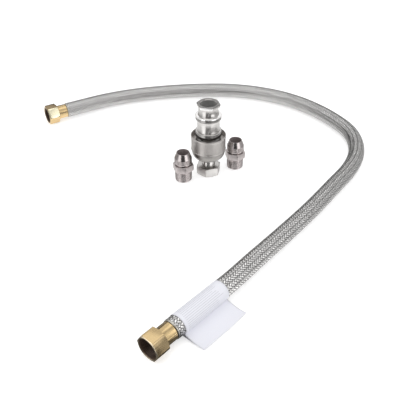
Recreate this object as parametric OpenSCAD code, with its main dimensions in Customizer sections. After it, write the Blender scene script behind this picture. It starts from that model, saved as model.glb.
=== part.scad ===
// Braided stainless gas connector hose with flare nuts, a quick-disconnect
// coupling and two flare adapters, laid out as a set. Units are millimetres.
// Origin: on the floor at the middle of the set. +Z up, +Y to the far side.

/* [Layout] */

// Width of the hook: from the far mouth across to the hose axis at the bend
hook_w = 540; // [500:2:560]
// Length of the hook: from the near mouth back to the hose axis at the top
hook_l = 644; // [600:2:680]

/* [Hose] */

// Outside diameter of the wire braid
hose_od = 26; // [24:0.5:28]
// Thickness of the wire braid
braid_t = 0.7; // [0.5:0.1:0.9]
// Gap between the liner and the braid
liner_gap = 0.35; // [0.3:0.05:0.6]
// Wall of the liner, as thick as its corrugated metal pressed flat
liner_wall = 0.6; // [0.4:0.1:1.2]

/* [Flare nuts] */

// Across the flats of the brass nut
nut_af = 30.2; // [29.5:0.1:32]
// Length of the hexagon
nut_hex_l = 19.2; // [18:0.2:24]
// Diameter of the round shank behind the hexagon
nut_shank_d = 24; // [22.5:0.5:25]
// Length of the round shank
nut_shank_l = 16.6; // [15:0.2:22]
// Bore of the internal thread, across its crests
flare_bore_d = 25.2; // [24.6:0.1:25.8]
// Depth of the internal thread
flare_depth = 13; // [11:0.5:14]
// Outside diameter of the flared steel tube
tube_od = 19; // [18:0.1:20]
// Wall of the flared tube
tube_wall = 1.5; // [1:0.1:2]

/* [Label] */

// Length of the wrap-around label along the hose
label_l = 74; // [50:1:76]
// Thickness of one ply
label_t = 0.3; // [0.2:0.05:0.5]
// How far the flag reaches sideways from the hose axis
flag_w = 40; // [30:1:50]

/* [Quick-disconnect coupling] */

// Across the flats of the lower hexagon
base_af = 34; // [32:0.5:36]
// Height of the lower hexagon
base_h = 15; // [14:0.5:17]
// Diameter of the neck above it
neck_d = 20.6; // [19:0.2:22]
// Bore of the pipe threads, across their crests
pipe_bore_d = 24.1; // [23.6:0.1:24.6]
// Outside diameter of the locking sleeve
sleeve_od = 54.6; // [53:0.2:56]
// Bore of the barrel that takes the plug
barrel_bore_d = 24.2; // [24:0.1:24.6]
// Wall of the barrel
barrel_wall = 4.9; // [4.6:0.1:5.1]
// Diameter of a locking ball
ball_d = 6.35; // [6.2:0.05:6.4]
// Number of locking balls
ball_n = 6; // [6:1:6]
// Stroke of the locking sleeve
sleeve_stroke = 6; // [5.5:0.1:6]
// Diameter of the plug's lower collar
plug_d = 40.4; // [38:0.2:41]
// Diameter of the plug between its two collars
plug_waist_d = 34.8; // [33:0.2:36]
// Diameter of the plug above its upper collar
plug_neck_d = 31.8; // [30:0.2:32]
// Across the flats of the plug's hexagon
plug_af = 32; // [30:0.5:33]

/* [Adapters] */

// Across the flats of the adapter's hexagon
adapter_af = 28.6; // [28:0.1:30]
// Height of the adapter
adapter_h = 49; // [46:0.5:52]
// Major diameter of its flare thread
adapter_flare_d = 27; // [26.4:0.1:27.4]
// Major diameter of its pipe thread
adapter_pipe_d = 26.7; // [26:0.1:27]
// Through bore
adapter_bore_d = 18.8; // [16:0.2:19]

/* [Hidden] */

$fn = 96;
eps = 0.01;
run = 0.05;               // running clearance on a radius

// ---------------------------------------------------------------- placing

nut_z = nut_af / 2;       // a nut lies on one flat
hose_r = hose_od / 2;

set_x = -1.2;               // these centre the whole set on the origin
set_y = 2.2;
// A place on the floor, given for a hook 540 wide and 644 long
function lay(x, y) = [(x + set_x) * hook_w / 540, (y + set_y) * hook_l / 644];

near_mouth = lay(-45, -326); // mouth of the near nut, seen from above
near_dir = 48;            // direction from that mouth into the hose
far_mouth = lay(-272, 210);
far_dir = 32;

near_axis = [cos(near_dir), sin(near_dir)];
far_axis = [cos(far_dir), sin(far_dir)];

ring_gap = 0.4;           // nut shank to end ring, so the nut can turn
ring_t = 2.0;
ring_at = nut_hex_l + nut_shank_l + ring_gap;
hose_at = ring_at + ring_t;   // where the braid starts, from the mouth

label_at = 47;            // label's start from the near mouth

coupling_xy = lay(21.3, 46);
left_xy = coupling_xy + [-39, -21];
right_xy = coupling_xy + [43, 16.5];

// ------------------------------------------------------------ hose route

function along(m, a, t, z) = [m[0] + a[0] * t, m[1] + a[1] * t, z];

// Points between the two straight stretches
BEND = [
    [-171, 275.5, hose_r + 0.3],
    [-122, 295.8, hose_r + 0.1],
    [-67, 309.4, hose_r + 0.1],
    [-3, 318, hose_r + 0.1],
    [60, 318.4, hose_r + 0.1],
    [116, 306.3, hose_r + 0.1],
    [168, 281.4, hose_r + 0.1],
    [212.6, 243, hose_r + 0.1],
    [248.6, 192.5, hose_r + 0.1],
    [268, 144, hose_r + 0.1],
    [266.3, 89, hose_r + 0.1],
    [246, 37.6, hose_r + 0.1],
    [210.3, -14.4, hose_r + 0.1],
    [167, -74.2, hose_r + 0.1],
    [122.6, -129.8, hose_r + 0.1],
    [81.3, -180.4, hose_r + 0.8]
];

// Far end first: the two straight stretches run square out of the nuts.
ROUTE = concat(
    [along(far_mouth, far_axis, hose_at + eps, nut_z),
     along(far_mouth, far_axis, hose_at + 26, nut_z)],
    [for (p = BEND) concat(lay(p[0], p[1]), p[2])],
    [along(near_mouth, near_axis, label_at + label_l + 8, nut_z),
     along(near_mouth, near_axis, hose_at + eps, nut_z)]
);

n_route = len(ROUTE);

function dist(a, b) = norm(b - a);
function unit(v) = v / norm(v);
function sum_to(v, i) = i < 0 ? 0 : v[i] + sum_to(v, i - 1);

function tangent(i) =
    i == 0 ? unit(ROUTE[1] - ROUTE[0])
    : i == n_route - 1 ? unit(ROUTE[i] - ROUTE[i - 1])
    : i == 1 ? unit(ROUTE[1] - ROUTE[0])
    : i == n_route - 2 ? unit(ROUTE[i + 1] - ROUTE[i])
    : unit(ROUTE[i + 1] - ROUTE[i - 1]);

// Hermite run between two route points
function herm(i, u) = let (
    a = ROUTE[i], b = ROUTE[i + 1], d = dist(a, b),
    ta = tangent(i) * d, tb = tangent(i + 1) * d
) a * (2 * pow(u, 3) - 3 * u * u + 1) + ta * (pow(u, 3) - 2 * u * u + u)
  + b * (3 * u * u - 2 * pow(u, 3)) + tb * (pow(u, 3) - u * u);

// Rings in each run: one in the straight ends, four where it bends
function runs(i) = (i == 0 || i == n_route - 2) ? 1 : 4;
PATH = concat(
    [for (i = [0 : n_route - 2]) for (k = [0 : runs(i) - 1]) herm(i, k / runs(i))],
    [ROUTE[n_route - 1]]
);
n_path = len(PATH);

function path_dir(i) =
    i == 0 ? unit(PATH[1] - PATH[0])
    : i == n_path - 1 ? unit(PATH[i] - PATH[i - 1])
    : unit(unit(PATH[i + 1] - PATH[i]) + unit(PATH[i] - PATH[i - 1]));

function path_side(i) = unit(cross([0, 0, 1], path_dir(i)));
function path_up(i) = cross(path_dir(i), path_side(i));

PATH_STEPS = [for (i = [0 : n_path - 2]) dist(PATH[i], PATH[i + 1])];
hose_l = sum_to(PATH_STEPS, n_path - 2);
overall_l = hose_l + 2 * hose_at;
echo(hose_length_mm = hose_l, overall_length_mm = overall_l, rings = n_path);

sides = 12;

function ring_pt(i, r, k) =
    PATH[i] + r * cos(k * 360 / sides) * path_side(i)
            + r * sin(k * 360 / sides) * path_up(i);

// Hollow tube along the route, outer radius ro and bore radius ri
module hose_tube(ro, ri) {
    m = n_path * sides;
    pts = concat(
        [for (i = [0 : n_path - 1]) for (k = [0 : sides - 1]) ring_pt(i, ro, k)],
        [for (i = [0 : n_path - 1]) for (k = [0 : sides - 1]) ring_pt(i, ri, k)]
    );
    outer = [for (i = [0 : n_path - 2]) for (k = [0 : sides - 1])
        let (a = i * sides + k, b = i * sides + (k + 1) % sides)
        each [[a, b, b + sides], [a, b + sides, a + sides]]];
    inner = [for (i = [0 : n_path - 2]) for (k = [0 : sides - 1])
        let (a = m + i * sides + k, b = m + i * sides + (k + 1) % sides)
        each [[a, b + sides, b], [a, a + sides, b + sides]]];
    last = (n_path - 1) * sides;
    start_cap = [for (k = [0 : sides - 1])
        let (a = k, b = (k + 1) % sides) each [[a, m + b, b], [a, m + a, m + b]]];
    end_cap = [for (k = [0 : sides - 1])
        let (a = last + k, b = last + (k + 1) % sides)
        each [[a, b, m + b], [a, m + b, m + a]]];
    polyhedron(pts, concat(outer, inner, start_cap, end_cap), convexity = 10);
}

braid_ir = hose_r - braid_t;
liner_or = braid_ir * cos(180 / sides) - liner_gap;
liner_ir = liner_or - liner_wall;

module braid_sleeve() color("silver") hose_tube(hose_r, braid_ir);
module corrugated_liner() color("gainsboro") hose_tube(liner_or, liner_ir);

// ------------------------------------------------------------- hose ends

// Puts a part whose local Z runs from the mouth into the hose
module at_near() translate([near_mouth[0], near_mouth[1], nut_z])
    rotate([0, 90, near_dir]) children();
module at_far() translate([far_mouth[0], far_mouth[1], nut_z])
    rotate([0, 90, far_dir]) children();

module revolve(pts) rotate_extrude($fn = 96) polygon(pts);

// Hexagon prism with flats square to local X, turned chamfers on both ends
module hex_bar(af, z0, z1, c0, c1) {
    ac = af / cos(30) / 2;
    intersection() {
        translate([0, 0, z0]) rotate([0, 0, 30]) cylinder(r = ac, h = z1 - z0, $fn = 6);
        revolve([[0, z0], [ac - c0 * 1.732, z0], [ac + 0.2, z0 + c0 + 0.2 / 1.732],
                 [ac + 0.2, z1 - c1 - 0.2 / 1.732], [ac - c1 * 1.732, z1], [0, z1]]);
    }
}

tube_r = tube_od / 2;
flare_r = flare_bore_d / 2 - 0.5;    // lip of the flared tube
flare_z = flare_depth + 0.9;         // where that lip lies

module flare_nut() {
    fr = flare_bore_d / 2;
    difference() {
        union() {
            hex_bar(nut_af, 0, nut_hex_l, 1.1, 1.5);
            revolve([[0, nut_hex_l - 2], [nut_shank_d / 2, nut_hex_l - 2],
                     [nut_shank_d / 2, nut_hex_l + nut_shank_l - 0.6],
                     [nut_shank_d / 2 - 0.6, nut_hex_l + nut_shank_l],
                     [0, nut_hex_l + nut_shank_l]]);
        }
        // entry chamfer, thread bore, seat for the flare, tube bore
        revolve([[0, -1], [fr + 2.0, -1], [fr, 1.0], [fr, flare_depth],
                 [fr + 0.3, flare_depth + 0.3], [fr + 0.3, flare_z + 0.2],
                 [tube_r + 0.1, flare_z + 0.4 + fr - tube_r],
                 [tube_r + 0.1, nut_hex_l + nut_shank_l + 1], [0, nut_hex_l + nut_shank_l + 1]]);
    }
}

module near_flare_nut() color("goldenrod") at_near() flare_nut();
module far_flare_nut() color("goldenrod") at_far() flare_nut();

// Tube from its 45 degree lip to inside the liner
module flared_tube() {
    d = flare_r - tube_r;
    revolve([[tube_r - tube_wall, flare_z + d + 0.6],
             [flare_r - 0.9, flare_z], [flare_r, flare_z + 0.3],
             [tube_r, flare_z + 0.3 + d], [tube_r, ring_at + ring_t],
             [tube_r - tube_wall, ring_at + ring_t]]);
}

module near_flared_tube() color("lightsteelblue") at_near() flared_tube();
module far_flared_tube() color("lightsteelblue") at_far() flared_tube();

// Welded ring that closes the end of the liner and holds the braid
module end_ring() difference() {
    revolve([[0, ring_at], [hose_r - 0.9, ring_at], [hose_r - 0.3, ring_at + 0.6],
             [hose_r - 0.3, ring_at + ring_t], [0, ring_at + ring_t]]);
    translate([0, 0, ring_at - 1]) cylinder(r = tube_r, h = ring_t + 2);
}

module near_end_ring() color("silver") at_near() end_ring();
module far_end_ring() color("silver") at_far() end_ring();

// ----------------------------------------------------------------- label

// A ring round the hose whose two ends meet in a flat flag beside it
module label_section() {
    ri = hose_r + 0.1;
    ro = ri + label_t;
    k = ro * cos(45);
    j = ri * cos(45);
    rise = 1.0;
    difference() {
        union() {
            circle(r = ro);
            polygon([[0, -ro], [flag_w, -ro + rise],
                     [flag_w, -ro + rise + 2 * label_t],
                     [ro + 1.6, -ro + 2 * label_t + 0.4], [k, -k], [0, 0]]);
        }
        circle(r = ri);
        polygon([[2, -ri + 0.05], [ro - 1.2, -ro + label_t + 0.35], [j + 0.2, -j], [0, 0]]);
    }
}

module wrap_label() color("white") at_near() translate([0, 0, label_at])
    rotate([0, 0, 90]) mirror([1, 0, 0]) linear_extrude(label_l) label_section();

// -------------------------------------------------------------- coupling

module at_coupling() translate([coupling_xy[0], coupling_xy[1], 0]) children();

// Heights up the coupling
neck_top = 36.5;          // underside of the disc that screws into the barrel
barrel_z = 37;            // bottom of the barrel
disc_top = 42;
seat_z = 46;              // valve seat
seat_top = 48;
oring_z = 52;
ball_z = 58;              // plane of the locking balls
barrel_top = 65.5;
rim_z = 68.5;             // top of the locking sleeve
bell_top = 44;            // joint of the sleeve and its lower bell
bell_z = 28.5;
plug_z = 67.3;            // underside of the plug's wide body
plug_nose_z = 49;

barrel_ir = barrel_bore_d / 2;
barrel_or = barrel_ir + barrel_wall;
nose_r = barrel_ir - 2 * run;
neck_r = neck_d / 2;
disc_r = neck_r + 2.9;
chamber_r = 10.6;
flow_r = 7.5;
seat_r = 7.4;
pipe_r = pipe_bore_d / 2;

ball_r = ball_d / 2;
// Ball centre with the sleeve drawn back, clear of the plug's nose
ball_out = nose_r + ball_r + 0.125;
ball_slope = 0.25;        // ball travel per sleeve travel
ball_in = ball_out - ball_slope * sleeve_stroke;
echo(ball_out = ball_out, ball_in = ball_in);

module socket_base() color("silver") at_coupling() difference() {
    union() {
        rotate([0, 0, 48.5]) hex_bar(base_af, 0, base_h, 1.6, 1.6);
        translate([0, 0, base_h - 1]) cylinder(r = neck_r, h = neck_top - base_h + 1 + eps);
        revolve([[0, neck_top], [disc_r, neck_top], [disc_r, disc_top], [0, disc_top]]);
    }
    revolve([[0, -1], [pipe_r + 2.2, -1], [pipe_r, 1.2], [pipe_r, 12],
             [flow_r, 12], [flow_r, 38.7], [chamber_r, 38.7],
             [chamber_r, disc_top + 1], [0, disc_top + 1]]);
}

snap_z = ball_z + 4.4;
snap_t = 1.2;
snap_r = 18.1;
flange_r = 21;
flange_z = 43;

module socket_barrel() color("gainsboro") at_coupling() difference() {
    revolve([[disc_r, barrel_z], [disc_r + 1.4, barrel_z], [barrel_or, 40],
             [barrel_or, flange_z], [flange_r, flange_z], [flange_r, flange_z + 1.5],
             [barrel_or, flange_z + 1.5],
             [barrel_or, snap_z], [barrel_or - 0.8, snap_z],
             [barrel_or - 0.8, snap_z + snap_t], [barrel_or, snap_z + snap_t],
             [barrel_or, barrel_top - 0.8], [barrel_or - 0.8, barrel_top],
             [barrel_ir + 1, barrel_top], [barrel_ir, barrel_top - 1.2],
             [barrel_ir, oring_z + 1.5], [barrel_ir + 2.1, oring_z + 1.5],
             [barrel_ir + 2.1, oring_z - 1.5], [barrel_ir, oring_z - 1.5],
             [barrel_ir, seat_top], [seat_r, seat_top], [seat_r, seat_z],
             [chamber_r, seat_z], [chamber_r, disc_top], [disc_r, disc_top]]);
    // holes for the locking balls, smaller where they open into the bore
    for (i = [0 : ball_n - 1]) rotate([0, 0, i * 360 / ball_n])
        translate([0, 0, ball_z]) rotate([0, 90, 0])
            revolve([[0, barrel_ir - 3], [ball_r - 0.225, barrel_ir - 3],
                     [ball_r - 0.225, ball_in - 1.2], [ball_r + run, ball_in - 1.2],
                     [ball_r + run, barrel_or + 2], [0, barrel_or + 2]]);
}

module barrel_oring() color("dimgray") at_coupling() translate([0, 0, oring_z])
    rotate_extrude() translate([barrel_ir + 1.03, 0]) circle(r = 1.05, $fn = 32);

module barrel_snap_ring() color("dimgray") at_coupling() difference() {
    translate([0, 0, snap_z]) difference() {
        cylinder(r = snap_r, h = snap_t);
        translate([0, 0, -1]) cylinder(r = barrel_or - 0.8, h = snap_t + 2);
    }
    translate([barrel_or - 4, -2, snap_z - 1]) cube([8, 4, snap_t + 2]);
}

sleeve_r = sleeve_od / 2;
sleeve_ir = barrel_or + run;
// Cone that carries the balls inward as the sleeve rises
function cam_r(z) = ball_out + ball_r / cos(atan(ball_slope)) + 0.04
                    + ball_slope * (z - ball_z);
cam_z0 = ball_z + (sleeve_ir - cam_r(ball_z)) / ball_slope;
ring_bottom = 50;
cam_top = ball_z + 1.2;
bell_wall = 2.3;
grip_r = sleeve_r - 0.7;  // outside of the sleeve between its rim and its lower ridge
bell_or = sleeve_r - 1.1;
spigot_r = bell_or - 1.9;

module locking_sleeve() color("lightgray") at_coupling()
    revolve([[sleeve_ir, ring_bottom], [sleeve_ir, cam_z0], [cam_r(cam_top), cam_top],
             [cam_r(cam_top) + 0.6, cam_top + 0.6],
             [sleeve_r - 1.9, cam_top + 0.6], [sleeve_r - 1.7, rim_z - 0.8],
             [sleeve_r - 1.2, rim_z], [sleeve_r - 0.5, rim_z],
             [sleeve_r, rim_z - 0.6], [sleeve_r, rim_z - 2.6], [grip_r, rim_z - 3.6],
             [grip_r, bell_top + 1.6], [sleeve_r - 0.2, bell_top + 1],
             [sleeve_r - 0.2, bell_top + 0.2], [sleeve_r - 0.4, bell_top],
             [spigot_r, bell_top], [spigot_r, ring_bottom]]);

// Lower bell: a quarter-round cup pressed into the sleeve
lip_r = disc_r + 0.2;
function bell_out_pt(a) = [lip_r + 1.6 + (bell_or - lip_r - 1.6) * pow(sin(a), 0.9),
                           bell_z + (bell_top - bell_z) * (1 - pow(cos(a), 0.9))];
function bell_in_pt(a) = [lip_r + 1.0 + (spigot_r - bell_wall + 0.4 - lip_r - 1.0) * pow(sin(a), 0.9),
                          bell_z + 1.8 + (bell_top - bell_z - 1.8) * (1 - pow(cos(a), 0.85))];
module sleeve_bell() color("lightgray") at_coupling() revolve(concat(
    [[lip_r, bell_z + 0.4], [lip_r + 0.4, bell_z]],
    [for (i = [0 : 10]) bell_out_pt(i * 9)],
    [[spigot_r, bell_top], [spigot_r, ring_bottom - 0.3],
     [spigot_r - bell_wall + 0.4, ring_bottom - 0.3]],
    [for (i = [10 : -1 : 0]) bell_in_pt(i * 9)],
    [[lip_r, bell_z + 1.8]]
));

// Open helix with flat turns at both ends
module coil(rm, wire, z0, z1, turns, sides = 6, per = 12) {
    n = turns * per;
    function pt(i) = let (
        u = i / n,
        w = min(1, max(0, (u * turns - 0.75) / (turns - 1.5))),
        z = z0 + wire / 2 + (z1 - z0 - wire) * w,
        a = 360 * i / per
    ) [rm * cos(a), rm * sin(a), z];
    pts = [for (i = [0 : n]) for (k = [0 : sides - 1])
        let (p = pt(i), a = 360 * i / per, b = 360 * k / sides,
             q = wire / 2 * 0.98)
        [p[0] + q * cos(b) * cos(a), p[1] + q * cos(b) * sin(a), p[2] + q * sin(b)]];
    side = [for (i = [0 : n - 1]) for (k = [0 : sides - 1])
        let (a = i * sides + k, b = i * sides + (k + 1) % sides)
        each [[a, b + sides, b], [a, a + sides, b + sides]]];
    cap0 = [for (k = [1 : sides - 2]) [0, k, k + 1]];
    cap1 = [for (k = [1 : sides - 2]) [n * sides, n * sides + k + 1, n * sides + k]];
    polyhedron(pts, concat(side, cap0, cap1), convexity = 20);
}

sleeve_spring_wire = 1.1;
sleeve_spring_r = barrel_or + 0.6 + sleeve_spring_wire;
module sleeve_spring() color("gray") at_coupling()
    coil(sleeve_spring_r, sleeve_spring_wire, flange_z + 1.5 + eps, ring_bottom - eps, 3.5);

module lock_ball(i) color("whitesmoke") at_coupling()
    rotate([0, 0, i * 360 / ball_n]) translate([ball_out, 0, ball_z])
        sphere(r = ball_r, $fn = 48);
module lock_ball_0() lock_ball(0);
module lock_ball_1() lock_ball(1);
module lock_ball_2() lock_ball(2);
module lock_ball_3() lock_ball(3);
module lock_ball_4() lock_ball(4);
module lock_ball_5() lock_ball(5);

poppet_open = 3.5;        // how far the plug holds the poppet off its seat
head_top = seat_z - poppet_open - 0.05;
head_h = 2.2;
seal_t = 0.6;
stem_r = 2;
stem_z = 21;              // lower and upper end of the stem
stem_top = 50;
guide_z = 23;
guide_h = 4;
push_z = 52;              // spider in the plug's nose, and its pin
push_h = 3;
pin_gap = 0.1;
module poppet() color("khaki") at_coupling()
    revolve([[0, stem_z], [stem_r, stem_z], [stem_r, head_top - seal_t - head_h],
             [8.2, head_top - seal_t - head_h], [8.8, head_top - seal_t - head_h + 0.6],
             [8.8, head_top - seal_t], [stem_r, head_top - seal_t],
             [stem_r, stem_top], [0, stem_top]]);

module poppet_seal() color("dimgray") at_coupling() translate([0, 0, head_top - seal_t])
    difference() {
        cylinder(r = 8.4, h = seal_t);
        translate([0, 0, -1]) cylinder(r = stem_r, h = seal_t + 2);
    }

module poppet_spring() color("gray") at_coupling()
    coil(4.6, 0.9, guide_z + guide_h + eps, head_top - seal_t - head_h - eps, 6);

// Hub on three arms across a round flow bore
module spider(r, hub, hole, z0, z1) difference() {
    intersection() {
        translate([0, 0, z0]) cylinder(r = r, h = z1 - z0);
        union() {
            translate([0, 0, z0]) cylinder(r = hub, h = z1 - z0);
            for (a = [0 : 120 : 240]) rotate([0, 0, a])
                translate([0, -0.9, z0]) cube([r + 1, 1.8, z1 - z0]);
        }
    }
    if (hole > 0) translate([0, 0, z0 - 1]) cylinder(r = hole, h = z1 - z0 + 2);
}
module poppet_guide() color("khaki") at_coupling()
    spider(flow_r, 3.4, stem_r + run, guide_z, guide_z + guide_h);

nose_bore_r = 8;
module plug_spider() color("khaki") at_coupling() {
    spider(nose_bore_r, 2.6, 0, push_z, push_z + push_h);
    translate([0, 0, stem_top + pin_gap])
        cylinder(r = stem_r, h = push_z + eps - stem_top - pin_gap);
}

flange_d = 39.8;
collar_top = 77;          // top of the plug's lower collar
upper_z = 95.8;           // upper collar, from here to
upper_top = 103.4;
hex_z = 117;              // the hexagon's lower corners
plug_top = 121.5;
module plug_body() color("silver") at_coupling() {
    pr = plug_d / 2;
    wr = plug_waist_d / 2;
    ur = flange_d / 2;
    er = plug_neck_d / 2;
    cr = plug_af / sqrt(3);   // out to the hexagon's corners
    difference() {
        union() {
            revolve([[0, plug_nose_z], [nose_r - 1.3, plug_nose_z], [nose_r, plug_nose_z + 1.6],
                     [nose_r, ball_z - 3], [nose_r - 1.6, ball_z - 1],
                     [nose_r - 1.6, ball_z + 1], [nose_r, ball_z + 3],
                     [nose_r, plug_z], [pr - 0.8, plug_z], [pr, plug_z + 0.8],
                     [pr, collar_top - 0.7], [pr - 0.7, collar_top], [wr, collar_top],
                     [wr, upper_z], [ur - 0.9, upper_z], [ur, upper_z + 0.9],
                     [ur, upper_top - 0.7], [ur - 0.7, upper_top], [er, upper_top],
                     [er, hex_z], [0, hex_z]]);
            intersection() {
                translate([0, 0, hex_z - 3.2]) rotate([0, 0, 48])
                    cylinder(r = cr, h = plug_top - hex_z + 3.2, $fn = 6);
                revolve([[0, hex_z - 3.2], [er - 0.3, hex_z - 3.2], [cr + 0.2, hex_z + 0.2],
                         [cr + 0.2, plug_top - 1.5], [cr - 2.4, plug_top], [0, plug_top]]);
            }
        }
        revolve([[0, plug_nose_z - 1], [nose_bore_r, plug_nose_z - 1], [nose_bore_r, 70],
                 [10, 74], [10, 105.5], [pipe_r, 107.5],
                 [pipe_r, plug_top - 1.4], [pipe_r + 2.4, plug_top + 1],
                 [0, plug_top + 1]]);
    }
}

// -------------------------------------------------------------- adapters

module adapter() {
    pr = adapter_pipe_d / 2;
    fr = adapter_flare_d / 2;
    difference() {
        union() {
            // tapered pipe end, 1 in 16 on diameter
            revolve([[0, 0], [pr - 1.9, 0], [pr - 0.55, 1.4], [pr + 0.02, 16.6],
                     [pr - 1.0, 17.4], [pr - 1.0, 18.6], [0, 18.6]]);
            hex_bar(adapter_af, 18.2, 28.8, 1.2, 1.2);
            // thread, neck behind it and steep nose
            revolve([[0, 28.4], [fr - 1.2, 28.4], [fr - 1.2, 30.6], [fr - 0.2, 31.4],
                     [fr, 31.8], [fr, adapter_h - 9], [fr - 0.5, adapter_h - 8.4],
                     [adapter_bore_d / 2 + 0.7, adapter_h], [0, adapter_h]]);
        }
        revolve([[0, -1], [adapter_bore_d / 2, -1], [adapter_bore_d / 2, adapter_h + 1],
                 [0, adapter_h + 1]]);
    }
}

module left_adapter() color("darkgray") translate([left_xy[0], left_xy[1], 0])
    rotate([0, 0, -50]) adapter();
module right_adapter() color("darkgray") translate([right_xy[0], right_xy[1], 0])
    rotate([0, 0, -46]) adapter();

// ------------------------------------------------------------------ draw

braid_sleeve();
corrugated_liner();
near_end_ring();
near_flared_tube();
near_flare_nut();
far_end_ring();
far_flared_tube();
far_flare_nut();
wrap_label();
socket_base();
socket_barrel();
barrel_oring();
barrel_snap_ring();
locking_sleeve();
sleeve_bell();
sleeve_spring();
lock_ball_0();
lock_ball_1();
lock_ball_2();
lock_ball_3();
lock_ball_4();
lock_ball_5();
poppet();
poppet_seal();
poppet_spring();
poppet_guide();
plug_body();
plug_spider();
left_adapter();
right_adapter();
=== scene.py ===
import math

import bpy
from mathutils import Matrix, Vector


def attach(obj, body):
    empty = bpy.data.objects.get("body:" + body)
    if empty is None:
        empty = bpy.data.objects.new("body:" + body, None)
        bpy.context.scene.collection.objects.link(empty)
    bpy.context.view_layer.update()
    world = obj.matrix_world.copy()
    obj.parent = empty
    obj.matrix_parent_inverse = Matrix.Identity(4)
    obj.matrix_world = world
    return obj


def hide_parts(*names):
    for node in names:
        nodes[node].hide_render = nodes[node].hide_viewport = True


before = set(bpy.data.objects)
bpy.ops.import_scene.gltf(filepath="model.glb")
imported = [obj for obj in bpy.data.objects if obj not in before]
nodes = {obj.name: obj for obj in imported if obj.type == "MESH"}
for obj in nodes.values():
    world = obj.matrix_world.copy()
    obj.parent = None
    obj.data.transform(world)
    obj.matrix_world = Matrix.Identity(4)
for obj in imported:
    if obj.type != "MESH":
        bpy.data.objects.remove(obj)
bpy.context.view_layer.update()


# ---------------------------------------------------------------------------
# Camera. It stands about 0.7 m in front of the set's middle and half a metre above
# the floor, level from side to side, and looks down at the middle of the hook.
CAMERA_AT = (0.0187, -0.7278, 0.5071)
CAMERA_TILT = math.radians(53.258)      # up from straight down
SENSOR, LENS = 36, 49.88                # mm

camera_data = bpy.data.cameras.new("camera")
camera_data.sensor_width = SENSOR
camera_data.lens = LENS
camera = bpy.data.objects.new("camera", camera_data)
camera.location = CAMERA_AT
camera.rotation_euler = (CAMERA_TILT, 0, 0)
bpy.context.scene.collection.objects.link(camera)
bpy.context.scene.camera = camera
bpy.context.scene.view_settings.view_transform = "Standard"


# ---------------------------------------------------------------------------
# Hose. A corrugated steel liner lies inside a sleeve of stainless wire, braided
# by a machine over two and under two, with eight fine wires side by side in each
# strand. It lies on the floor in a hook and ends in a welded ring at each nut.
MM = 0.001
HOSE_R = 13.0 * MM
NUT_Z = 15.1 * MM           # height of both nuts' axes over the floor
HOSE_AT = 38.2 * MM         # from a nut's mouth to the end of the hose
NEAR_MOUTH, NEAR_DIR = Vector((-0.0462, -0.3238, NUT_Z)), math.radians(48)
FAR_MOUTH, FAR_DIR = Vector((-0.2732, 0.2122, NUT_Z)), math.radians(32)
STRANDS = 24                # in each direction
WIRES = 8                   # side by side in a strand
CELL = 4.6 * MM             # length of one diamond along the hose
VALLEY, CROWN = 0.34 * MM, 0.32 * MM    # inside HOSE_R, and from there to a strand's back
FAR_STRAIGHT = 26 * MM      # runs straight out of the far nut
NEAR_STRAIGHT = 129 * MM    # and from here on, to the near nut
BEND_SHIFT_X, BEND_SHIFT_Y = 1.2, 2.2   # mm, of the whole bend to the left and back
BEND = [(-171, 275.5, 13.3), (-122, 295.8, 13.1), (-67, 309.4, 13.1), (-3, 318, 13.1),
        (60, 318.4, 13.1), (116, 306.3, 13.1), (168, 281.4, 13.1), (212.6, 243, 13.1),
        (248.6, 192.5, 13.1), (268, 144, 13.1), (266.3, 89, 13.1), (246, 37.6, 13.1),
        (210.3, -14.4, 13.1), (167, -74.2, 13.1), (122.6, -129.8, 13.1), (81.3, -180.4, 13.8)]
FINE = 60                   # steps between two points of the route
AROUND = 96                 # points round the hose
LIFT_POWER, ROUND_POWER = 0.7, 3        # how full a strand is, along and across
PATH_STEPS = 300


def along(mouth, angle, distance):
    return mouth + distance * Vector((math.cos(angle), math.sin(angle), 0))


route = [along(FAR_MOUTH, FAR_DIR, HOSE_AT), along(FAR_MOUTH, FAR_DIR, HOSE_AT + FAR_STRAIGHT)]
route += [Vector((x - BEND_SHIFT_X, y + BEND_SHIFT_Y, z)) * MM for x, y, z in BEND]
route += [along(NEAR_MOUTH, NEAR_DIR, NEAR_STRAIGHT), along(NEAR_MOUTH, NEAR_DIR, HOSE_AT)]


def heading(i):
    """The route's direction at a point; the straight run at each end keeps its own."""
    a, b = max(i - 1, 0), min(i + 1, len(route) - 1)
    if i == 1:
        b = 1
    if i == len(route) - 2:
        a = i
    return (route[b] - route[a]).normalized()


def between(i, u):
    """A point on the smooth run from one route point to the next."""
    a, b = route[i], route[i + 1]
    d = (b - a).length
    return (a * (2 * u**3 - 3 * u**2 + 1) + heading(i) * d * (u**3 - 2 * u**2 + u)
            + b * (3 * u**2 - 2 * u**3) + heading(i + 1) * d * (u**3 - u**2))


fine = [between(i, k / FINE) for i in range(len(route) - 1) for k in range(FINE)] + [route[-1]]
fine.reverse()              # from the near end to the far end
reach = [0.0]
for a, b in zip(fine, fine[1:]):
    reach.append(reach[-1] + (b - a).length)
hose_length = reach[-1]


def at_length(s):
    """The centreline's point and heading at a length from the near end."""
    lo, hi = 0, len(reach) - 1
    while hi - lo > 1:
        mid = (lo + hi) // 2
        lo, hi = (mid, hi) if reach[mid] <= s else (lo, mid)
    t = (s - reach[lo]) / (reach[hi] - reach[lo])
    return fine[lo].lerp(fine[hi], t), (fine[hi] - fine[lo]).normalized()


def weave(u, v):
    """Height of the braid, 0 to 1, at u diamonds along and v diamonds around."""
    a, b = v + u, v - u
    turn = (math.floor(a) + math.floor(b)) % 4
    if turn < 2:
        lift, across = (turn + b % 1) / 2, a % 1
    else:
        lift, across = (turn - 2 + a % 1) / 2, b % 1
    return math.sin(math.pi * lift) ** LIFT_POWER * (1 - abs(2 * across - 1) ** ROUND_POWER)


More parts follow.
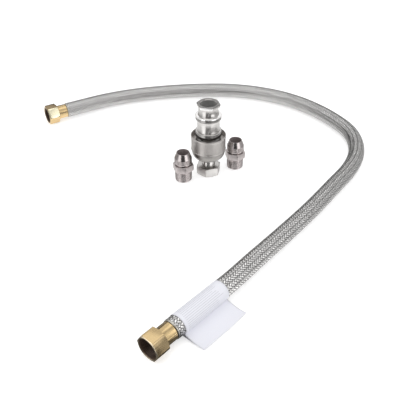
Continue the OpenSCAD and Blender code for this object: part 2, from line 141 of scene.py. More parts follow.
rings = round(hose_length / (CELL / 4))
verts, faces, corner_uv = [], [], []
for i in range(rings + 1):
    s = hose_length * i / rings
    point, ahead = at_length(s)
    side = Vector((0, 0, 1)).cross(ahead).normalized()
    up = ahead.cross(side)
    for k in range(AROUND):
        t = math.tau * k / AROUND
        r = HOSE_R - VALLEY + CROWN * weave(s / CELL, k * STRANDS / AROUND)
        verts.append(point + r * (math.cos(t) * side + math.sin(t) * up))
for i in range(rings):
    for k in range(AROUND):
        n = (k + 1) % AROUND
        faces.append((i * AROUND + k, (i + 1) * AROUND + k, (i + 1) * AROUND + n, i * AROUND + n))
        u0, u1 = (hose_length * j / rings / CELL for j in (i, i + 1))
        v0, v1 = (j * STRANDS / AROUND for j in (k, k + 1))
        corner_uv += [(u0, v0), (u1, v0), (u1, v1), (u0, v1)]
for end, flip in ((0, False), (rings, True)):
    ring = [end * AROUND + k for k in range(AROUND)]
    faces.append(ring[::-1] if flip else ring)
    corner_uv += [(end / 4, k * STRANDS / AROUND) for k in range(AROUND)]
mesh = bpy.data.meshes.new("braided_hose")
mesh.from_pydata(verts, [], faces)
uv = mesh.uv_layers.new(name="weave")
for loop, place in zip(uv.data, corner_uv):
    loop.uv = place
mesh.polygons.foreach_set("use_smooth", [True] * len(mesh.polygons))
hose = bpy.data.objects.new("braided_hose", mesh)
bpy.context.scene.collection.objects.link(hose)


class Wire:
    """A value on its way through a node tree, so that sums on it read as sums."""

    def __init__(self, paint, socket):
        self.paint, self.socket = paint, socket

    def sum(self, kind, *values):
        return self.paint.node("ShaderNodeMath", {"operation": kind}, dict(enumerate(values)))

    def __add__(self, other): return self.sum("ADD", self, other)
    def __sub__(self, other): return self.sum("SUBTRACT", self, other)
    def __mul__(self, other): return self.sum("MULTIPLY", self, other)
    def __truediv__(self, other): return self.sum("DIVIDE", self, other)
    def __mod__(self, other): return self.sum("FLOORED_MODULO", self, other)
    def __pow__(self, other): return self.sum("POWER", self, other)
    def __lt__(self, other): return self.sum("LESS_THAN", self, other)
    def __gt__(self, other): return self.sum("GREATER_THAN", self, other)
    def __rsub__(self, other): return self.sum("SUBTRACT", other, self)
    def __abs__(self): return self.sum("ABSOLUTE", self)
    __radd__, __rmul__ = __add__, __mul__

    def floor(self): return self.sum("FLOOR", self)
    def root(self): return self.sum("SQRT", self)


class Paint:
    """One material, or the light of the room, built node by node."""

    def __init__(self, name, kind=bpy.data.materials):
        self.material = kind.new(name)
        self.material.use_nodes = True
        self.tree = self.material.node_tree
        self.tree.nodes.clear()

    def node(self, kind, settings, inputs, out=0):
        made = self.tree.nodes.new(kind)
        for key, value in settings.items():
            setattr(made, key, value)
        for key, value in inputs.items():
            if isinstance(value, Wire):
                self.tree.links.new(value.socket, made.inputs[key])
            else:
                made.inputs[key].default_value = value
        return Wire(self, made.outputs[out]) if made.outputs else None

    def split(self, vector):
        parts = self.node("ShaderNodeSeparateXYZ", {}, {0: vector})
        return [Wire(self, socket) for socket in parts.socket.node.outputs]

    def join(self, x, y, z):
        return self.node("ShaderNodeCombineXYZ", {}, {0: x, 1: y, 2: z})

    def vector(self, kind, *values):
        return self.node("ShaderNodeVectorMath", {"operation": kind}, dict(enumerate(values)))

    def scaled(self, vector, size):
        return self.node("ShaderNodeVectorMath", {"operation": "SCALE"},
                         {0: vector, "Scale": size})

    def clamped(self, kind, first, second):
        """A sum whose result stays between 0 and 1."""
        return self.node("ShaderNodeMath", {"operation": kind, "use_clamp": True},
                         {0: first, 1: second})

    def places(self, name):
        """The coordinates of a UV map."""
        return self.split(self.node("ShaderNodeUVMap", {"uv_map": name}, {}))

    def noise(self, vector, scale, detail=2.0):
        return self.node("ShaderNodeTexNoise", {},
                         {"Vector": vector, "Scale": scale, "Detail": detail})

    def chance(self, value):
        """A random number, the same wherever the value is the same."""
        return self.node("ShaderNodeTexWhiteNoise", {"noise_dimensions": "1D"}, {"W": value})

    def blend(self, factor, first, second):
        return self.node("ShaderNodeMix", {"data_type": "RGBA"},
                         {0: factor, 6: first, 7: second}, 2)

    def bump(self, strength, distance, height):
        return self.node("ShaderNodeBump", {},
                         {"Strength": strength, "Distance": distance, "Height": height})

    def surface(self):
        return self.node("ShaderNodeNewGeometry", {}, {}, 1)

    def location(self):
        """Where a point of the piece is, in its own coordinates."""
        return self.node("ShaderNodeTexCoord", {}, {}, 3)

    def coat(self, **inputs):
        """Ends the tree in one Principled shader."""
        inputs = {name.replace("_", " "): value for name, value in inputs.items()}
        return self.finish(self.node("ShaderNodeBsdfPrincipled", {}, inputs))

    def finish(self, shader, kind="ShaderNodeOutputMaterial"):
        self.node(kind, {}, {0: shader})
        return self.material

    def shown(self):
        """1 for what the camera, a reflection or clear glass shows, 0 for light on things."""
        ray = self.node("ShaderNodeLightPath", {}, {}).socket.node.outputs
        camera, glossy, clear = (Wire(self, ray["Is %s Ray" % name])
                                 for name in ("Camera", "Glossy", "Transmission"))
        return self.clamped("ADD", camera + glossy, clear)


def dress(piece, material):
    piece.data.materials.clear()
    piece.data.materials.append(material)


# The same weave as the mesh's, point by point, with each wire and strand in it.
paint = Paint("woven stainless wire")
u, v, _ = paint.places("weave")
a, b = v + u, v - u
turn = (a.floor() + b.floor()) % 4
first_up = turn < 2                       # which of the two crossing strands lies on top
second_up = 1 - first_up
lift = first_up * (turn + b % 1) / 2 + second_up * (turn - 2 + a % 1) / 2
across = first_up * (a % 1) + second_up * (b % 1)
wire = (across * WIRES) % 1 * 2 - 1       # -1 to 1 across each wire
band = across * 2 - 1                     # -1 to 1 across the strand
strand = first_up * (a.floor() % STRANDS) + second_up * (b.floor() % STRANDS + 40)
piece_of = strand * 3.7 + u.floor() * 0.37 + v.floor() * 0.73
tone = paint.chance(strand)               # of a whole strand, and of each piece of it on top
shade = paint.chance(piece_of)
loose = paint.chance(piece_of + 7.7)
tilt_across = wire * 0.28 + band * 0.22
tilt_along = (lift - 0.5) * -0.45
sense = first_up - second_up
slope_u = sense * tilt_across - sense * tilt_along + (shade - 0.5) * 0.2
slope_v = tilt_across + tilt_along + (loose - 0.5) * 0.25
flat = paint.join(slope_u * 0.35 + 0.5, slope_v * 0.35 + 0.5, 1.0)
normal = paint.node("ShaderNodeNormalMap", {"uv_map": "weave"}, {"Strength": 1.0, "Color": flat})
# Painted shade: gap, dive, edge and corner darken the braid where its hollows and dives would lie
# in shade.
gap = (abs(wire) ** 6) * 0.1              # dark between wires, where a strand dives,
dive = (abs(lift * 2 - 1) ** 3) * 0.7     # along its edges and in the holes at its corners
edge = band * band * 0.95
corner = paint.clamped("MULTIPLY", abs(band) + abs(lift * 2 - 1) - 1.3, 2.0)
dark = 1 - (1 - gap) * (1 - dive) * (1 - edge) * (1 - corner)
drift = paint.noise(paint.join(u * 0.12, v * 0.22, 0.0), 1.0)
drift = paint.clamped("MULTIPLY", drift - 0.42, 6.0)
painted_sheen = first_up * drift + second_up * (1 - drift)     # painted sheen: one way of the strands is brighter, in slow patches
bright = paint.blend(shade * 0.4 + tone * 0.2 + painted_sheen * 0.4,
                     (0.62, 0.61, 0.60, 1), (1.0, 0.99, 0.98, 1))
# The painted shade of the braid's hollows darkens its colour here.
colour = paint.blend(dark, bright, (0.02, 0.019, 0.018, 1))
dress(hose, paint.coat(Base_Color=colour, Metallic=1.0, Roughness=0.18 + dark * 0.3,
                       Normal=normal))
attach(hose, "set_base")
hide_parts("braid_sleeve")
centreline = [at_length(hose_length * i / PATH_STEPS)[0] for i in range(PATH_STEPS + 1)]


# ---------------------------------------------------------------------------
# Liner, end rings and flared tubes. The liner is corrugated stainless strip, the
# ring is welded over its end and the braid, and the tube is drawn stainless whose
# 45 degree lip the nut pulls on.
ALONG_NEAR = (math.cos(NEAR_DIR), math.sin(NEAR_DIR), 0.0)
ALONG_FAR = (math.cos(FAR_DIR), math.sin(FAR_DIR), 0.0)
WELD_GREY = (0.62, 0.61, 0.57), (0.42, 0.40, 0.35)
TUBE_GREY = (0.62, 0.62, 0.62), (0.42, 0.42, 0.42)
LINER_GREY = (0.60, 0.60, 0.60), (0.44, 0.44, 0.43)


def steel(name, shades, rough, centre=(0, 0, 0), axis=(0, 0, 1), lines=0.0, per_metre=2500):
    """Machined or drawn metal on a piece's place: soft blotches between a pale and a deep shade,
    and fine turned lines along its axis."""
    pale, deep = shades
    paint = Paint(name)
    place = paint.vector("SUBTRACT", paint.location(), centre)
    blotch = paint.noise(place, 90.0, 4.0)
    fine_grain = paint.noise(place, 1400.0)
    colour = paint.blend(blotch * 0.7 + fine_grain * 0.3, deep + (1,), pale + (1,))
    far_along = paint.node("ShaderNodeVectorMath", {"operation": "DOT_PRODUCT"},
                           {0: place, 1: axis}, 1)
    turned = paint.node("ShaderNodeTexNoise", {"noise_dimensions": "1D"},
                        {"W": far_along, "Scale": per_metre})
    tilt = paint.scaled(axis, (turned - 0.5) * lines * 2)
    normal = paint.vector("NORMALIZE", paint.vector("ADD", paint.surface(), tilt))
    return paint.coat(Base_Color=colour, Metallic=1.0, Roughness=blotch * 0.12 + rough,
                      Normal=normal)


for end, mouth, axis in (("near", NEAR_MOUTH, ALONG_NEAR), ("far", FAR_MOUTH, ALONG_FAR)):
    centre = tuple(mouth)
    dress(nodes[end + "_end_ring"],
          steel(end + " welded ring", WELD_GREY, 0.34, centre, axis, lines=0.25))
    dress(nodes[end + "_flared_tube"],
          steel(end + " drawn tube", TUBE_GREY, 0.22, centre, axis, lines=0.08))
dress(nodes["corrugated_liner"], steel("liner strip", LINER_GREY, 0.26))


# ---------------------------------------------------------------------------
# Flare nuts. Each is turned from brass bar: a milled hexagon, a round shank behind
# it, a 1-1/16-14 internal thread and a cone that presses the tube's lip. It hangs
# loose on its tube until it is screwed on.
PITCH = 1.814               # mm, 14 threads to the inch; these sizes are all mm
PER_THREAD = 9              # steps to each turn of a thread
TURNS = 96                  # steps round a turned piece
CHAMFER_REACH = 3.5         # how far above and below its corners milled() may cut
AT_CORNER = 0.6             # as near as this to the corners, a point is one of theirs
SLIVER = 0.03               # what a chamfer leaves of its own height
BROKEN = 0.08               # taken off the corner itself
FLAT_END = 0.3              # from a flat's end to its outermost points
SAME_POINT = 1e-6           # m
SMOOTH_BELOW = math.radians(24)
NUT_FLATS, NUT_CORNER = 30.2, 30.2 / math.sqrt(3)
NUT_HEX_L, NUT_L = 19.2, 35.8
NUT_MOUTH_R, NUT_THREAD_R, NUT_TUBE_R, NUT_SHANK_R = 13.7, 12.6, 9.6, 12.0
# BRASS_BORE is the bore's colour, darkened as painted shade.
BRASS, BRASS_DEEP, BRASS_BORE = (0.76, 0.58, 0.32), (0.50, 0.36, 0.18), (0.085, 0.050, 0.032)
ON_FLAT = (0.2, 19.1, 14.9)             # from, to, and further out than this
NUT_PAINTED_LIGHT = {                           # painted reflections on the flats at 240 and 180 degrees, and a painted highlight on the mouth's rim
    "near": ((*ON_FLAT, 0.42, (0.05, 0.05, 0.05), 240), (*ON_FLAT, 0.14, (0.05, 0.04, 0.03), 180),
             (-0.1, 0.9, 13.5, 0.60, (0.95, 0.84, 0.66), None)),
    "far": ((*ON_FLAT, 0.85, (1.0, 0.95, 0.70), 240), (*ON_FLAT, 0.55, (0.10, 0.07, 0.04), 180)),
}


def eased(profile, cut=0.22):
    """A closed profile with each corner broken, as a file or a tumbler leaves it."""
    out = []
    for i, (r, z) in enumerate(profile):
        (ar, az), (br, bz) = profile[i - 1], profile[(i + 1) % len(profile)]
        la, lb = math.hypot(ar - r, az - z), math.hypot(br - r, bz - z)
        bend = ((r - ar) * (br - r) + (z - az) * (bz - z)) / (la * lb)
        if bend > 0.93:
            out.append((r, z))
            continue
        ca, cb = min(cut, la * 0.4), min(cut, lb * 0.4)
        first = (r + (ar - r) * ca / la, z + (az - z) * ca / la)
        last = (r + (br - r) * cb / lb, z + (bz - z) * cb / lb)
        middle = tuple(0.25 * p + 0.5 * q + 0.25 * s for p, q, s in zip(first, (r, z), last))
        out += [first, middle, last]
    return out


def rows(r0, z0, r1, z1):
    """Points from one height to another, close enough together for a thread."""
    count = max(2, round(abs(z1 - z0) / PITCH * PER_THREAD))
    return [(r0 + (r1 - r0) * i / count, z0 + (z1 - z0) * i / count) for i in range(count + 1)]


def lathed(name, profile):
    """Turns a closed profile of (radius, height), in millimetres, round Z."""
    bpy.ops.object.select_all(action="DESELECT")
    bpy.ops.mesh.primitive_plane_add(size=MM, location=(0, 0, 0))
    piece = bpy.context.object
    piece.name = name
    bpy.ops.object.mode_set(mode="EDIT")
    bpy.ops.mesh.select_all(action="SELECT")
    bpy.ops.mesh.merge(type="CENTER")
    r, z = profile[0]
    bpy.ops.transform.translate(value=(r * MM, 0, z * MM))
    for next_r, next_z in profile[1:] + profile[:1]:
        step = ((next_r - r) * MM, 0, (next_z - z) * MM)
        bpy.ops.mesh.extrude_vertices_move(TRANSFORM_OT_translate={"value": step})
        r, z = next_r, next_z
    bpy.ops.mesh.select_all(action="SELECT")
    bpy.ops.mesh.remove_doubles(threshold=SAME_POINT)
    bpy.ops.mesh.spin(steps=TURNS, angle=math.tau, center=(0, 0, 0), axis=(0, 0, 1))
    bpy.ops.mesh.select_all(action="SELECT")
    bpy.ops.mesh.remove_doubles(threshold=SAME_POINT)
    bpy.ops.mesh.normals_make_consistent(inside=False)
    bpy.ops.object.mode_set(mode="OBJECT")
    return piece


def milled(piece, flats, low, high, low_slope=1.732, high_slope=1.732, inside=0.8, lean=0.0):
    """Cuts six flats, this far across, from a blank turned to the hexagon's corners. low and high
    give the height at which a chamfer meets the corners, and the chamfer's own height; the slopes
    are its radius over its height. What lies within the share inside of the flats' reach stays
    round, and lean makes the flats slope in towards their foot."""
    corner = flats / math.sqrt(3)
    (low, low_deep), (high, high_deep) = low, high
    for vertex in piece.data.vertices:
        x, y, z = (c / MM for c in vertex.co)
        r, turn = math.hypot(x, y), math.atan2(y, x)
        if r < flats / 2 * inside or not low - CHAMFER_REACH < z < high + CHAMFER_REACH:
            continue
        step = round(math.degrees(turn) / 60 - 0.5)
        nearest = math.radians(step * 60 + 30)          # the corner that is next to it
        off = turn - nearest
        flat_at = flats / 2 / math.cos(math.radians(30) - abs(off))
        cut = corner - flat_at
        if r > corner - AT_CORNER:
            if z < (low + high) / 2:
                z -= min(cut / low_slope, low_deep - SLIVER) if z < low + AT_CORNER else 0
            else:
                z += min(cut / high_slope, high_deep - SLIVER) if z > high - AT_CORNER else 0
            r -= cut
            if abs(off) < 0.01:
                r -= BROKEN
            elif abs(off) < math.radians(360 / TURNS) * 1.2:
                side = corner / 2 - FLAT_END            # along the flat, from its middle
                ease = corner - (r + cut)
                r = math.hypot(flats / 2, side) - ease
                turn = nearest + math.copysign(math.radians(30) - math.atan2(side, flats / 2), off)
        else:
            r = min(r, flat_at)
        if lean and flats / 2 * 0.97 < r:
            r -= lean * max(0.0, high - z)
        vertex.co = (r * math.cos(turn) * MM, r * math.sin(turn) * MM, z * MM)


def threaded(piece, low, high, within, depth):
    """Cuts a thread between two heights on the wall whose radius lies within these; a negative
    depth cuts inward."""
    for vertex in piece.data.vertices:
        x, y, z = (c / MM for c in vertex.co)
        r, turn = math.hypot(x, y), math.atan2(y, x)
        if low <= z <= high and within[0] <= r <= within[1]:
            phase = (z / PITCH - turn / math.tau) % 1
            tooth = min(1, max(0, (1 - abs(2 * phase - 1)) * 1.25 - 0.1))
            fade = min(1, (z - low) / PITCH * 1.5, (high - z) / PITCH * 1.5)
            grown = (r + depth * tooth * fade) / r
            vertex.co = (x * grown * MM, y * grown * MM, z * MM)


def placed(piece, location, turned=(0, 0, 0)):
    """Keeps the piece's own coordinates for its finish, then puts it where it belongs."""
    kept = piece.data.attributes.new("own", "FLOAT_VECTOR", "POINT")
    for vertex, own in zip(piece.data.vertices, kept.data):
        own.vector = vertex.co
    bpy.ops.object.select_all(action="DESELECT")
    piece.select_set(True)
    bpy.context.view_layer.objects.active = piece
    bpy.ops.object.shade_smooth_by_angle(angle=SMOOTH_BELOW)
    piece.rotation_euler = turned
    piece.location = location
    bpy.ops.object.transform_apply(location=True, rotation=True, scale=True)


def machined(name, pale, deep, rough, axis, lines, flats=None, drawn=0.0, matt=0.0,
             bore=None, painted_bore_shade=None, painted_light=()):
    """Bright metal from the lathe: fine rings along its axis, and on the flats the lines of the
    drawn bar. flats is (low, high, radius) of a hexagon, which matt makes rougher, and bore is
    (radius, low, high) of what is left unpolished, rougher and less metallic, and darkened with a
    painted shade colour. The painted-light entries are (low, high, reach, strength, colour, angle)
    of painted reflections, darker or brighter: a ring beyond that radius, or with an angle the one
    flat that looks that way."""
    paint = Paint(name)
    own = paint.node("ShaderNodeAttribute", {"attribute_name": "own"}, {}, 1)
    x, y, z = paint.split(own)
    radius = (x * x + y * y).root()

    def level(low, high):
        return (z > low * MM) * (z < high * MM)

    blotch = paint.noise(own, 110.0, 4.0)
    mix = blotch * 0.75 + paint.noise(own, 1600.0) * 0.25
    turned = paint.node("ShaderNodeTexNoise", {"noise_dimensions": "1D"},
                        {"W": z, "Scale": 2600.0, "Detail": 3.0})
    surface = paint.surface()
    normal = paint.vector("ADD", surface, paint.scaled(axis, (turned - 0.5) * lines * 2))
    roughness = blotch * 0.14 + rough
    if flats:
        low, high, inner = flats
        on_flats = level(low, high) * (radius > inner * MM)
        across = paint.vector("CROSS_PRODUCT", surface, axis)
        streak = paint.noise(paint.vector("MULTIPLY", own, (900.0, 900.0, 45.0)), 1.0, 3.0)
        tilt = paint.scaled(across, (streak - 0.5) * on_flats * drawn * 2)
        normal = paint.vector("ADD", normal, tilt)
        mix = mix * (1 - on_flats * 0.5) + on_flats * streak * 0.45
        roughness = roughness + on_flats * matt
    colour = paint.blend(mix, deep + (1,), pale + (1,))
    # Painted reflections: each entry paints a ring or one flat darker or brighter than the metal
    # around it.
    for low, high, reach, strength, tone, angle in painted_light:
        turn = math.radians(angle or 0)
        outward = radius if angle is None else x * math.cos(turn) + y * math.sin(turn)
        there = level(low, high) * (outward > reach * MM)
        colour = paint.blend(there * strength, colour, tone + (1,))
    metal = 1.0
    # The bore is rougher and less metallic as unpolished metal, and its colour is darkened as
    # painted shade.
    if bore:
        wall, low, high = bore
        inside = (radius < wall * MM) * level(low, high)
        colour = paint.blend(inside, colour, painted_bore_shade + (1,))
        roughness = roughness + inside * 0.15
        metal = 1 - inside * 0.75
    return paint.coat(Base_Color=colour, Metallic=metal, Roughness=roughness,
                      Normal=paint.vector("NORMALIZE", normal))


nut = eased([(NUT_MOUTH_R, 0), (NUT_CORNER - 2.45, 0), (NUT_CORNER, 1.42), (NUT_CORNER, 17.7),
             (NUT_CORNER - 2.6, NUT_HEX_L), (NUT_SHANK_R, NUT_HEX_L), (NUT_SHANK_R, NUT_L - 0.5),
             (NUT_SHANK_R - 0.5, NUT_L), (NUT_TUBE_R, NUT_L), (NUT_TUBE_R, 17.4), (12.9, 14.1),
             (12.9, 13.3)])
nut += rows(NUT_THREAD_R, 13.0, NUT_THREAD_R, 1.8)
for end, mouth, direction, axis in (("near", NEAR_MOUTH, NEAR_DIR, ALONG_NEAR),
                                    ("far", FAR_MOUTH, FAR_DIR, ALONG_FAR)):
    piece = lathed(end + "_brass_nut", nut)
    milled(piece, NUT_FLATS, (1.42, 1.42), (17.7, 1.5))
    threaded(piece, 1.9, 12.9, (NUT_THREAD_R - 0.1, NUT_THREAD_R + 0.1), 0.85)
    placed(piece, mouth, (0, math.radians(90), direction))
    dress(piece, machined(end + " bright brass", BRASS, BRASS_DEEP, 0.12, axis, lines=0.05,
                          flats=(0.2, 19.1, 14.0), drawn=0.05,
                          bore=(13.6, 0.3, 18.0), painted_bore_shade=BRASS_BORE, painted_light=NUT_PAINTED_LIGHT[end]))
    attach(piece, end + "_nut")
    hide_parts(end + "_flare_nut")


# ---------------------------------------------------------------------------
# Wrap-around label. A strip of matt white film goes once round the hose, and its
# two ends are stuck to each other, so that they stand off as a flag of two plies.
# It carries only faint ruled lines.
LABEL_AT, LABEL_L = 47 * MM, 74 * MM
FLAG = 40 * MM              # the flag's edge, from the hose's axis
WRAP_R = 13.22 * MM
PLY = 0.12 * MM
LOWER_Z, LOWER_DIP = -12.42, 0.80       # mm under the axis, at the flag's edge and more at the hose
UPPER_Z, UPPER_DIP = -12.16, 0.42
COLUMNS = 36                # along the hose
LOWER_STEPS, WRAP_STEPS, UPPER_STEPS = 12, 56, 18       # across it, in its three parts
WRAP_TURN = 310             # degrees of the hose that the film lies on
UPPER_SAG = 2.4             # how soon the upper ply comes down to the lower one
CURLS_FROM = 0.35           # share of the flag that lies still
CURL, WAVE = 0.9, 0.35      # mm, at the flag's corners and along its edge
RULE = 2.5                  # mm from line to line
RULED = 42.0, 107.0         # mm, the stretch round the hose that has lines
MARGIN, RULE_L, RAGGED = 5.0, 54.0, 14.0    # mm, where lines start and end, and end later at most
FILM, FILM_PALE, INK = (0.86, 0.87, 0.94, 1), (0.91, 0.91, 0.97, 1), (0.30, 0.30, 0.34, 1)

lateral = Vector((math.sin(NEAR_DIR), -math.cos(NEAR_DIR), 0))
section = []                # (sideways, up) from the hose's axis, from the lower ply's free edge
for i in range(LOWER_STEPS + 1):
    t = i / LOWER_STEPS
    section.append((FLAG * (1 - t), (LOWER_Z - LOWER_DIP * (3 * t**2 - 2 * t**3)) * MM))
for i in range(1, WRAP_STEPS + 1):
    turn = math.radians(-90 - WRAP_TURN * i / WRAP_STEPS)
    section.append((WRAP_R * math.cos(turn), WRAP_R * math.sin(turn)))
edge = section[-1]
for i in range(1, UPPER_STEPS + 1):
    t = i / UPPER_STEPS
    sag = (1 - t) ** UPPER_SAG
    lies = (UPPER_Z - UPPER_DIP * math.sin(math.pi * t)) * MM
    section.append((edge[0] + (FLAG - edge[0]) * t, lies * (1 - sag) + edge[1] * sag))
verts, faces, corner_uv = [], [], []
for i in range(COLUMNS + 1):
    u = i / COLUMNS
    base = NEAR_MOUTH + Vector(ALONG_NEAR) * (LABEL_AT + LABEL_L * u)
    for k, (sideways, high) in enumerate(section):
        out = max(0.0, sideways / FLAG - CURLS_FROM) / (1 - CURLS_FROM)
        curl = (CURL * out**2 * (2 * u - 1) ** 2 + WAVE * out * math.sin(u * 7.0 + 0.6)) * MM
        verts.append(base + lateral * sideways + Vector((0, 0, high + curl)))
steps = len(section)
for i in range(COLUMNS):
    for k in range(steps - 1):
        this, following = i * steps + k, (i + 1) * steps + k
        faces.append((this, this + 1, following + 1, following))
        u0, u1 = i / COLUMNS, (i + 1) / COLUMNS
        corner_uv += [(u0, k), (u0, k + 1), (u1, k + 1), (u1, k)]
so_far = [0.0]
for a, b in zip(section, section[1:]):
    so_far.append(so_far[-1] + math.dist(a, b))
mesh = bpy.data.meshes.new("film_label")
mesh.from_pydata(verts, [], faces)
uv = mesh.uv_layers.new(name="print")
for loop, (u, k) in zip(uv.data, corner_uv):
    loop.uv = (u * LABEL_L / MM, so_far[k] / MM)
mesh.polygons.foreach_set("use_smooth", [True] * len(mesh.polygons))
label = bpy.data.objects.new("film_label", mesh)
bpy.context.scene.collection.objects.link(label)
bpy.ops.object.select_all(action="DESELECT")
label.select_set(True)
bpy.context.view_layer.objects.active = label
ply = label.modifiers.new("ply", "SOLIDIFY")
ply.thickness, ply.offset = PLY, 0
bpy.ops.object.modifier_apply(modifier="ply")

paint = Paint("white film")
u, v, _ = paint.places("print")
row = v / RULE
line = abs(row % 1 - 0.5) < 0.11
ragged = paint.chance(row.floor())
on_wrap = (v > RULED[0]) * (v < RULED[1])
inside_margin = (u > MARGIN) * (u < ragged * RAGGED + RULE_L)
grain = paint.noise(paint.join(u, v, 0), 1.3, 4.0)
film = paint.blend(grain, FILM, FILM_PALE)
ink = line * on_wrap * inside_margin * 0.42
colour = paint.blend(ink, film, INK)
crinkle = paint.bump(0.25, 0.0006, paint.noise(paint.join(u, v, 0), 0.11, 3.0))
dress(label, paint.coat(Base_Color=colour, Roughness=grain * 0.15 + 0.38, Normal=crinkle))
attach(label, "set_base")
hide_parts("wrap_label")


# ---------------------------------------------------------------------------
# Coupling base. The socket's lower half is turned from steel hexagon bar and
# nickel plated: a hexagon with the pipe thread in its mouth, a neck, and a disc
# that screws into the barrel.
COUPLING = Vector((20.1, 48.2, 0)) * MM
UP = (0.0, 0.0, 1.0)
# BASE_BORE is the bore's colour, darkened as painted shade.
NICKEL, NICKEL_DEEP, BASE_BORE = (0.66, 0.645, 0.63), (0.46, 0.445, 0.43), (0.12, 0.115, 0.11)
BASE_FLATS, BASE_CORNER, BASE_HEX_L = 34, 34 / math.sqrt(3), 15
BASE_NECK_R, FLOW_R, PIPE_R = 10.3, 7.5, 12.05
DISC_R, DISC_LOW, DISC_TOP, DISC_SEAT_R = 13.2, 36.5, 42, 10.6

base = eased([(13.25, 0), (BASE_CORNER - 2.77, 0), (BASE_CORNER, 1.6), (BASE_CORNER, 13.4),
              (BASE_CORNER - 2.77, BASE_HEX_L), (BASE_NECK_R, BASE_HEX_L), (BASE_NECK_R, DISC_LOW),
              (DISC_R, DISC_LOW), (DISC_R, DISC_TOP), (DISC_SEAT_R, DISC_TOP), (DISC_SEAT_R, 38.7),
              (FLOW_R, 38.7), (FLOW_R, 12), (PIPE_R, 12)])
base += rows(PIPE_R, 11.7, PIPE_R, 1.3)
piece = lathed("coupling_base", base)
milled(piece, BASE_FLATS, (1.6, 1.6), (13.4, 1.6))
threaded(piece, 1.4, 11.6, (11.95, 12.15), 0.75)
placed(piece, COUPLING, (0, 0, math.radians(48.5)))
dress(piece, machined("plated base", NICKEL, NICKEL_DEEP, 0.14, UP, lines=0.06,
                      flats=(0.2, 14.8, 14.0), drawn=0.06, matt=0.12,
                      bore=(13.0, 0.9, 13.0), painted_bore_shade=BASE_BORE))
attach(piece, "set_base")
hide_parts("socket_base")


# ---------------------------------------------------------------------------
# Barrel, O-ring, snap ring, balls and springs. The barrel is a turned tube with six
# holes for hardened steel balls. A rubber ring seals the plug in its bore, a split
# ring stops the sleeve, and wound steel springs return the sleeve and the valve.
BALLS = 6
BALL_GREY = (0.72, 0.72, 0.73), (0.60, 0.60, 0.61)
SPRING_GREY = (0.50, 0.50, 0.51), (0.33, 0.32, 0.31)
RUBBER, RUBBER_BLOOM = (0.012, 0.012, 0.012, 1), (0.035, 0.034, 0.033, 1)

middle = tuple(COUPLING)
dress(nodes["socket_barrel"],
      steel("plated barrel", (NICKEL, NICKEL_DEEP), 0.16, middle, UP, lines=0.10))
polished = steel("hardened balls", BALL_GREY, 0.06, middle)
for i in range(BALLS):
    dress(nodes["lock_ball_%d" % i], polished)
spring = steel("spring wire", SPRING_GREY, 0.24, middle, UP, lines=0.10, per_metre=6000)
for name in ("sleeve_spring", "poppet_spring", "barrel_snap_ring"):
    dress(nodes[name], spring)

paint = Paint("black nitrile")
place = paint.location()
bloom = paint.noise(place, 240.0, 5.0)
pores = paint.bump(0.3, 0.0002, paint.noise(place, 5200.0))
rubber = paint.coat(Base_Color=paint.blend(bloom, RUBBER, RUBBER_BLOOM),
                    Roughness=bloom * 0.25 + 0.45, Normal=pores)
dress(nodes["barrel_oring"], rubber)


# ---------------------------------------------------------------------------
# Valve. A turned brass poppet with a rubber face slides in a three-armed brass
# guide, and a spider in the plug's nose pushes it open.
VALVE_BRASS = (0.86, 0.66, 0.36), (0.66, 0.46, 0.20)

valve_brass = steel("valve brass", VALVE_BRASS, 0.20, middle, UP, lines=0.12)
for name in ("poppet", "poppet_guide", "plug_spider"):
    dress(nodes[name], valve_brass)
dress(nodes["poppet_seal"], rubber)


# ---------------------------------------------------------------------------
# Locking sleeve and its bell. Two turned, satin nickel-plated rings pressed into
# one grip. Fine grooves run round it, a rim stands at its top and a narrow ridge
# at the joint; drawn down by hand, it lets the balls go and frees the plug.
SATIN, SATIN_DEEP = (0.60, 0.575, 0.555), (0.38, 0.36, 0.345)
# The bell's colours are the same satin plating darkened, as painted shade.
SHADED, SHADED_DEEP = (0.36, 0.345, 0.33), (0.22, 0.21, 0.20)
BALL_OUT, BALL_Z = 15.3, 58             # mm: a locked ball's centre, from the axis and up
BALL_REACH = 3.2727         # mm, level, from there to the slope: its radius over a cosine
CAM_GAP, CAM_SLOPE = 0.04, 0.25
RIM_R, GRIP_R, JOINT_R, JOINT_Z = 27.3, 26.6, 24.3, 44
GROOVE_PITCH, GROOVE_DEPTH = 1.17, 0.14
RIPPLE = 0.14               # depth of the bell's turned ripples
BELL_STEPS, BELL_INNER_STEPS = 24, 10


def cam(z):
    """Radius of the sleeve's slope, which holds the balls in at this height."""
    return BALL_OUT + BALL_REACH + CAM_GAP + CAM_SLOPE * (z - BALL_Z)


def grooves(r, high, low, pitch, depth):
    """A run of shallow round-bottomed grooves down a wall."""
    count = round((high - low) / pitch)
    out = []
    for i in range(count * 4 + 1):
        t = i / (count * 4)
        out.append((r - depth * (0.5 - 0.5 * math.cos(math.tau * i / 4)), high + (low - high) * t))
    return out


def bell_wall(turn, foot, grows, low, rises, power):
    """A point of the bell's wall, from its foot at 0 degrees to its rim at 90."""
    turn = math.radians(turn)
    return (foot + grows * math.sin(turn) ** 0.9,
            low + rises * (1 - max(0.0, math.cos(turn)) ** power))


sleeve = eased([(17.05, 50), (17.05, 51.75), (cam(59.2), 59.2), (cam(59.2) + 0.6, 59.8),
                (25.4, 59.8), (25.6, 67.7), (26.1, 68.5), (26.8, 68.5), (RIM_R, 67.9),
                (RIM_R, 65.9)], 0.15)
sleeve += grooves(GRIP_R, 64.9, 46.1, GROOVE_PITCH, GROOVE_DEPTH)
sleeve += eased([(GRIP_R, 45.6), (27.1, 45), (27.1, 44.2), (26.9, JOINT_Z), (JOINT_R, JOINT_Z),
                 (JOINT_R, 50)], 0.1)
piece = lathed("grip_sleeve", sleeve)
placed(piece, COUPLING)
dress(piece, machined("satin plated grip", SATIN, SATIN_DEEP, 0.30, UP, lines=0.20))
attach(piece, "sleeve")
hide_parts("locking_sleeve")

